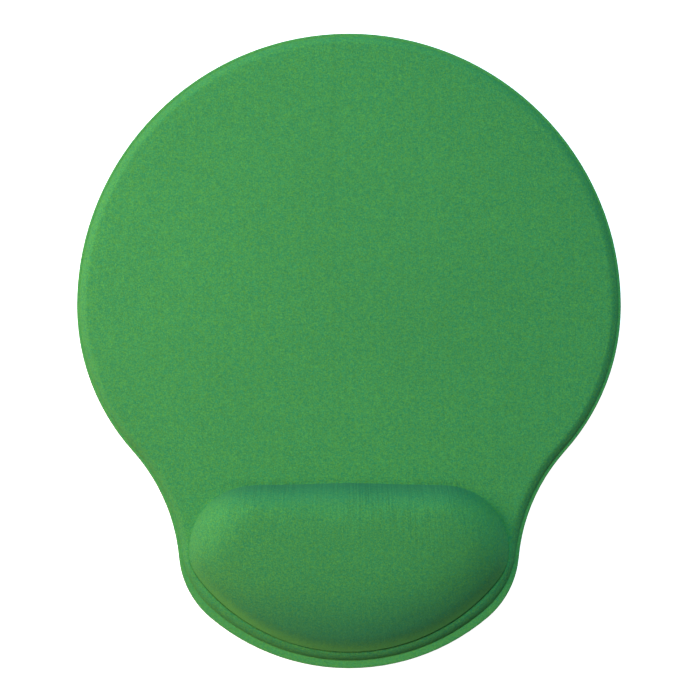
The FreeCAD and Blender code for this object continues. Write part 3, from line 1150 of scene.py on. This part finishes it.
@dataclass
class CoverCloth:
    """The green knit: it is glued over the mat and the cushion, and runs out to the lip's cut edge."""

    plan: Plan
    layers: Layers
    crown: Crown
    edge: RolledEdge = RolledEdge()
    flat_rings: int = 20
    lip_rings: int = 2
    hem_round: float = 0.22 * MM
    step_groove: float = 0.16 * MM
    foot_groove: float = 0.45 * MM
    back_groove: float = 0.06 * MM
    furrow_width: float = 0.55 * MM
    front_flare: float = 3.8 * MM
    back_flare: float = 0.7 * MM
    side_flare: float = 4.0 * MM
    hem_wall: float = 0.2 * MM
    hem_ease: float = 0.3
    groove_start: float = 0.35 * MM
    groove_end: float = 0.1 * MM
    least_furrow: float = 0.05 * MM
    furrow_profile: tuple = ((1.0, 0.0), (0.76, 0.15), (0.44, 0.8), (0.18, 1.0))
    front_span: tuple = (0.12, 0.55)
    back_span: tuple = (0.2, 0.5)
    pucker: float = 0.05 * MM
    pucker_waves: tuple = ((97, 0.0), (41, 0.7))
    billow: float = 0.05 * MM
    billow_waves: tuple = ((61, 0.4), (47, math.pi / 2 - 0.9))

    def build(self, material: bpy.types.Material) -> bpy.types.Object:
        """Args:
            material: The knit.

        Returns:
            The cover.
        """
        rings = self.lip() + self.edge.rings(self.plan, self.step, self.layers.lip_top, self.layers.mat_top)
        dome = self.dome()
        furrow = self.crease(dome[0], rings[-1])
        middle = between(rings[-1], furrow[0], self.flat_rings)
        rings += [waved(ring, self.billow, *self.billow_waves) for ring in middle]
        rings += furrow + dome
        cover = sweep_rings("green_knit_cover", rings, Shape.OPEN, Shape.POLE)
        thicken(cover, self.layers.cloth)
        self.plan.area
        return finish_piece(cover, material, "cover_knit", "cover_cloth")

    @property
    def step(self) -> np.ndarray:
        """Distances from the pole to the cloth that comes down over the foam's edge."""
        return self.plan.beyond(self.plan.foam, self.layers.glue + self.layers.cloth)

    def lip(self) -> list[np.ndarray]:
        """Rings from the cut edge over the lip to the groove at the foam's edge, outermost first.

        Returns:
            The rings.
        """
        plan = self.plan
        top = self.layers.lip_top
        low = top - self.hem_round
        eased = self.hem_round * self.hem_ease
        edge = plan.insets(
            plan.outline, (0.0, low - self.hem_wall), (0.0, low), (eased, top - eased), (self.hem_round, top)
        )
        inner, groove = plan.insets(
            self.step, (-self.groove_start, top), (-self.groove_end, top - self.step_groove)
        )
        return edge + between(edge[-1], inner, self.lip_rings) + [inner, groove]

    def dome(self) -> list[np.ndarray]:
        """Rings over the cushion, from its foot to the pole.

        Returns:
            The rings.
        """
        offset = self.layers.film + self.layers.glue + self.layers.cloth
        flare = self.side_flare + (self.front_flare - self.side_flare) * self.frontness
        flare = flare + (self.back_flare - flare) * self.backness
        return self.crown.skin(offset, self.layers.mat_top, flare)

    @property
    def frontness(self) -> np.ndarray:
        """How far each spoke points to the user: 1 along the front arc and 0 elsewhere."""
        return smooth_step(-self.plan.spokes.directions[:, 1], *self.front_span)

    @property
    def backness(self) -> np.ndarray:
        """How far each spoke points away from the user: 1 along the cushion's back and 0 elsewhere."""
        return smooth_step(self.plan.spokes.directions[:, 1], *self.back_span)

    def crease(self, foot: np.ndarray, edge: np.ndarray) -> list[np.ndarray]:
        """Rings of the narrow furrow where the cushion meets the mat.

        Args:
            foot: The dome's first ring.
            edge: The innermost ring of the mat's rolled edge.

        Returns:
            The furrow's rings, outermost first.
        """
        inside = self.reach(foot)
        width = np.clip((self.reach(edge) - inside) * 0.5, self.least_furrow, self.furrow_width)
        depth = self.foot_groove * self.frontness + self.back_groove * self.backness
        phase = np.arange(len(foot)) * 2 * math.pi / len(foot)
        folds = self.pucker
        for rate, start in self.pucker_waves:
            folds = folds * np.sin(phase * rate + start)
        rings = []
        for out, share in self.furrow_profile:
            height = self.layers.mat_top - depth * share + folds * share
            rings.append(self.plan.spokes.ring(inside + width * out, height))
        return rings

    def reach(self, ring: np.ndarray) -> np.ndarray:
        """Distances from the pole to a ring."""
        pole = self.plan.spokes.pole
        return np.hypot(ring[:, 0] - pole.x, ring[:, 1] - pole.y)


@dataclass
class CoverAdhesive:
    """The thin glue film under the whole cover."""

    plan: Plan
    layers: Layers
    crown: Crown
    edge: RolledEdge = RolledEdge(width=1.4 * MM, steps=6)
    flare: float = 0.5 * MM
    step_gap: float = 0.3 * MM

    def build(self, material: bpy.types.Material) -> bpy.types.Object:
        """Makes the glue film as one continuous skin and dresses it.

        Args:
            material: The glue.

        Returns:
            The film.
        """
        plan = self.plan
        low = self.layers.lip_bottom
        high = self.layers.foam_top + self.layers.glue
        wall = plan.beyond(plan.foam, self.layers.glue)
        rim = plan.inset(plan.outline, 0.0, low)
        inner = plan.inset(wall, -self.step_gap, low)
        rings = [rim] + between(rim, inner, 1) + [inner] + self.edge.rings(plan, wall, low, high)
        dome = self.crown.skin(self.layers.film + self.layers.glue, high, self.flare)
        rings += between(rings[-1], dome[0], 5) + dome[::2]
        film = sweep_rings("cover_glue_film", rings, Shape.OPEN, Shape.POLE)
        thicken(film, self.layers.glue)
        return finish_piece(film, material, "adhesive", "cover_adhesive")


@dataclass
class PouchSkin:
    """The pouch's domed upper film, with its flat welded rim."""

    plan: Plan
    layers: Layers
    crown: Crown
    flare: float = 0.4 * MM

    def build(self, material: bpy.types.Material) -> bpy.types.Object:
        """Makes the film and dresses it.

        Args:
            material: The film's finish.

        Returns:
            The film.
        """
        high = self.layers.foam_top
        rim = self.plan.inset(self.plan.foot, 0.0, high)
        dome = self.crown.skin(self.layers.film, high, self.flare)
        rings = [rim] + between(rim, dome[0], 2) + dome
        film = sweep_rings("pouch_skin", rings, Shape.OPEN, Shape.POLE)
        thicken(film, self.layers.film)
        return finish_piece(film, material, "pouch_film", "pouch_upper_film")


@dataclass
class FoamSheet:
    """The mat's foam, rounded along its edge, with a shallow seat pressed in for the pouch's rim."""

    plan: Plan
    layers: Layers
    edge_round: float = 1.3 * MM
    under_break: float = 0.25 * MM
    inner_share: float = 0.3
    steps: int = 6
    ripple: float = 0.03 * MM
    ripple_waves: tuple = ((83, 0.0), (71, 0.0))
    seat_brim: float = 0.25 * MM
    seat_lean: float = 0.05 * MM
    seat_drop: float = 0.15 * MM

    def build(self, material: bpy.types.Material) -> bpy.types.Object:
        """Args:
            material: The foam's finish.

        Returns:
            The foam.
        """
        plan = self.plan
        low = self.layers.foam_bottom
        high = self.layers.foam_top
        seat = self.layers.seat
        inner = plan.spokes.ring(plan.foam * self.inner_share, low)
        under = plan.inset(plan.foam, self.under_break, low)
        rings = [inner] + between(inner, under, 4) + [under]
        rings.append(plan.inset(plan.foam, 0.0, low + self.under_break))
        for place in range(self.steps + 1):
            turn = place / self.steps * math.pi / 2
            inset = self.edge_round * (1 - math.cos(turn))
            height = high - self.edge_round * (1 - math.sin(turn))
            rings.append(plan.inset(plan.foam, inset, height))
        shoulder = plan.inset(plan.foot, -self.seat_brim, high)
        flat = between(rings[-1], shoulder, 14)
        rings += [waved(ring, self.ripple, *self.ripple_waves) for ring in flat]
        rings.append(shoulder)
        lean = self.seat_lean
        drop = self.seat_drop
        rings += plan.insets(plan.foot, (-lean, high - drop), (0.0, seat + lean), (drop, seat))
        rings += between(rings[-1], plan.spokes.ring(INNER_RING, seat), 8)
        foam = sweep_rings("mat_foam_pad", rings, Shape.POLE, Shape.POLE)
        return finish_piece(foam, material, "foam", "mat_foam")


@dataclass
class BaseSheet:
    """The rubber underlay, with a broken edge and low grip studs on its underside."""

    plan: Plan
    layers: Layers
    edge_break: float = 0.15 * MM
    inner_share: float = 0.25
    stud_height: float = 0.25 * MM
    stud_root: float = 0.1 * MM
    stud_radius: float = 1.1 * MM
    stud_taper: float = 0.8
    stud_sides: int = 8
    stud_pitch: float = 5.0 * MM
    row_share: float = 0.866
    rows_each_way: int = 30
    margin: float = 3.2 * MM

    def build(self, material: bpy.types.Material) -> bpy.types.Object:
        """Makes the underlay as a closed piece with its studs, and dresses it in the rubber.

        Args:
            material: The rubber.

        Returns:
            The underlay.
        """
        plan = self.plan
        low = self.stud_height
        high = self.layers.base_top
        inner = plan.spokes.ring(plan.outline * self.inner_share, low)
        under = plan.inset(plan.outline, self.edge_break, low)
        rings = [inner] + between(inner, under, 3) + [under]
        eased = self.edge_break
        rings += plan.insets(plan.outline, (0.0, low + eased), (0.0, high - eased), (eased, high))
        rings += between(rings[-1], plan.spokes.ring(INNER_RING, high), 4)
        sheet = sweep_rings("rubber_underlay", rings, Shape.POLE, Shape.POLE)
        self.add_studs(sheet)
        sheet.data.shade_smooth()
        sheet.data.set_sharp_from_angle(angle=math.radians(40))
        return finish_piece(sheet, material, "base_rubber", "base_sheet")

    def add_studs(self, sheet: bpy.types.Object) -> None:
        """Adds staggered low studs that stand on the desk to the underlay.

        Args:
            sheet: The underlay.
        """
        height = self.stud_height + self.stud_root
        stud = bmesh.new()
        bmesh.ops.create_cone(
            stud, cap_ends=True, segments=self.stud_sides, radius1=self.stud_radius * self.stud_taper,
            radius2=self.stud_radius, depth=height,
        )
        bmesh.ops.translate(stud, verts=stud.verts, vec=Vector((0.0, 0.0, height / 2)))
        studs = object_from(stud, "studs", smooth=False)
        shape = bmesh.new()
        shape.from_mesh(sheet.data)
        for across, along in self.places():
            studs.data.transform(Matrix.Translation((across, along, 0.0)))
            shape.from_mesh(studs.data)
            studs.data.transform(Matrix.Translation((-across, -along, 0.0)))
        shape.to_mesh(sheet.data)
        shape.free()
        bpy.data.objects.remove(studs)

    def places(self) -> list[tuple[float, float]]:
        """Where studs stand: a staggered grid inside the outline, clear of its edge.

        Returns:
            Each stud's x and y.
        """
        ring = self.plan.spokes.ring(self.plan.outline, 0.0)[:, :2]
        span = range(-self.rows_each_way, self.rows_each_way + 1)
        places = []
        for row in span:
            for column in span:
                across = (column + 0.5 * (row % 2)) * self.stud_pitch
                along = row * self.stud_pitch * self.row_share
                if stands_inside(across, along, ring, self.margin):
                    places.append((across, along))
        return places


def stands_inside(across: float, along: float, ring: np.ndarray, margin: float) -> bool:
    """Whether a point lies inside an outline by more than a margin.

    Args:
        across: The point's x.
        along: The point's y.
        ring: The outline's points.
        margin: The least distance to the outline.

    Returns:
        True if it does.
    """
    ahead = np.roll(ring, -1, axis=0)
    spans = (ring[:, 1] > along) != (ahead[:, 1] > along)
    with np.errstate(divide="ignore", invalid="ignore"):
        slope = (ahead[:, 0] - ring[:, 0]) / (ahead[:, 1] - ring[:, 1])
        crossing = ring[:, 0] + (along - ring[:, 1]) * slope
    inside = np.count_nonzero(spans & (crossing > across)) % 2 == 1
    clear = float(np.min(np.linalg.norm(ring - np.array([across, along]), axis=1)))
    return bool(inside) and clear > margin


# ---- studio


@dataclass(frozen=True)
class Studio:
    """A pale floor, a warm soft key light to the left, a cool one behind and a camera straight above."""

    key_power: float = 2.8
    key_size: float = 0.36
    key_place: tuple = (-0.44, 0.07, 0.37)
    key_colour: tuple = (1.2, 0.97, 0.70)
    back_power: float = 25.0
    back_size: float = 0.8
    back_place: tuple = (0.0, 1.25, 1.5)
    back_colour: tuple = (0.28, 0.98, 1.25)
    ambient: float = 0.165
    ambient_colour: tuple = rgb(1.05, 1.0, 1.08)
    camera_place: tuple = (0.00042, 0.00035, 0.752)
    lens: float = 100.0
    sensor: float = 36.0
    nearest: float = 0.01
    floor_half: float = 6.0
    floor_drop: float = 0.2 * MM

    def build(self) -> None:
        """Sets the floor, the lights, the world and the camera."""
        self.floor()
        self.light("key", self.key_place, self.key_size, self.key_power, self.key_colour)
        self.light("back", self.back_place, self.back_size, self.back_power, self.back_colour)
        self.world()
        self.camera()

    def floor(self) -> None:
        """Lays the floor just below the mat."""
        shape = bmesh.new()
        bmesh.ops.create_grid(shape, x_segments=4, y_segments=4, size=self.floor_half)
        bmesh.ops.translate(shape, verts=shape.verts, vec=Vector((0.0, 0.0, -self.floor_drop)))
        ground = object_from(shape, "floor", smooth=False)
        ground.data.materials.append(FloorFinish().material())

    def light(self, name: str, place: Sequence[float], size: float, power: float, colour: tuple) -> None:
        """Hangs a square soft light that faces the mat.

        Args:
            name: The light's name.
            place: Where it hangs.
            size: Its side.
            power: Its power in watts.
            colour: Its colour.
        """
        data = bpy.data.lights.new(name, "AREA")
        data.color = colour
        data.size = size
        data.energy = power
        lamp = bpy.data.objects.new(name, data)
        lamp.location = place
        lamp.rotation_euler = (-Vector(place)).to_track_quat("-Z", "Y").to_euler()
        bpy.context.scene.collection.objects.link(lamp)

    def world(self) -> None:
        """Fills the room with even, slightly cool light."""
        room = bpy.data.worlds.new("room")
        room.use_nodes = True
        background = room.node_tree.nodes["Background"]
        background.inputs["Color"].default_value = self.ambient_colour
        background.inputs["Strength"].default_value = self.ambient
        bpy.context.scene.world = room
        bpy.context.scene.view_settings.view_transform = "Standard"

    def camera(self) -> None:
        """Points the camera straight down."""
        data = bpy.data.cameras.new("camera")
        data.lens = self.lens
        data.sensor_width = self.sensor
        data.clip_start = self.nearest
        camera = bpy.data.objects.new("camera", data)
        camera.location = self.camera_place
        bpy.context.scene.collection.objects.link(camera)
        bpy.context.scene.camera = camera


def dress_kept_nodes(finishes: dict[str, bpy.types.Material]) -> None:
    """Gives the frame's own shown nodes their finishes.

    Args:
        finishes: A finish for each node's name.
    """
    for name, material in finishes.items():
        node = frame["nodes"][name]
        node.data.materials.clear()
        node.data.materials.append(material)
        log.info("%s: kept from the frame", name)


def main() -> None:
    """Builds every piece, from the desk up, then the studio."""
    layers = Layers.from_frame()
    spokes = Spokes()
    plan = Plan.from_frame(spokes, layers)
    glue = GLUE.material()
    film = FILM.material()
    BaseSheet(plan, layers).build(RUBBER.material())
    FoamSheet(plan, layers).build(FoamFinish().material())
    dress_kept_nodes({"base_adhesive": glue, "pouch_lower_film": film})
    pad = GelPad(layers).build()
    crown = Crown(spokes, layers).sample(pad, plan.gel_foot)
    finish_piece(pad, GEL.material(), "gel", "gel_core")
    PouchSkin(plan, layers, crown).build(film)
    CoverAdhesive(plan, layers, crown).build(glue)
    CoverCloth(plan, layers, crown).build(KnitFinish().material())
    Studio().build()


if __name__ == "__main__":
    main()
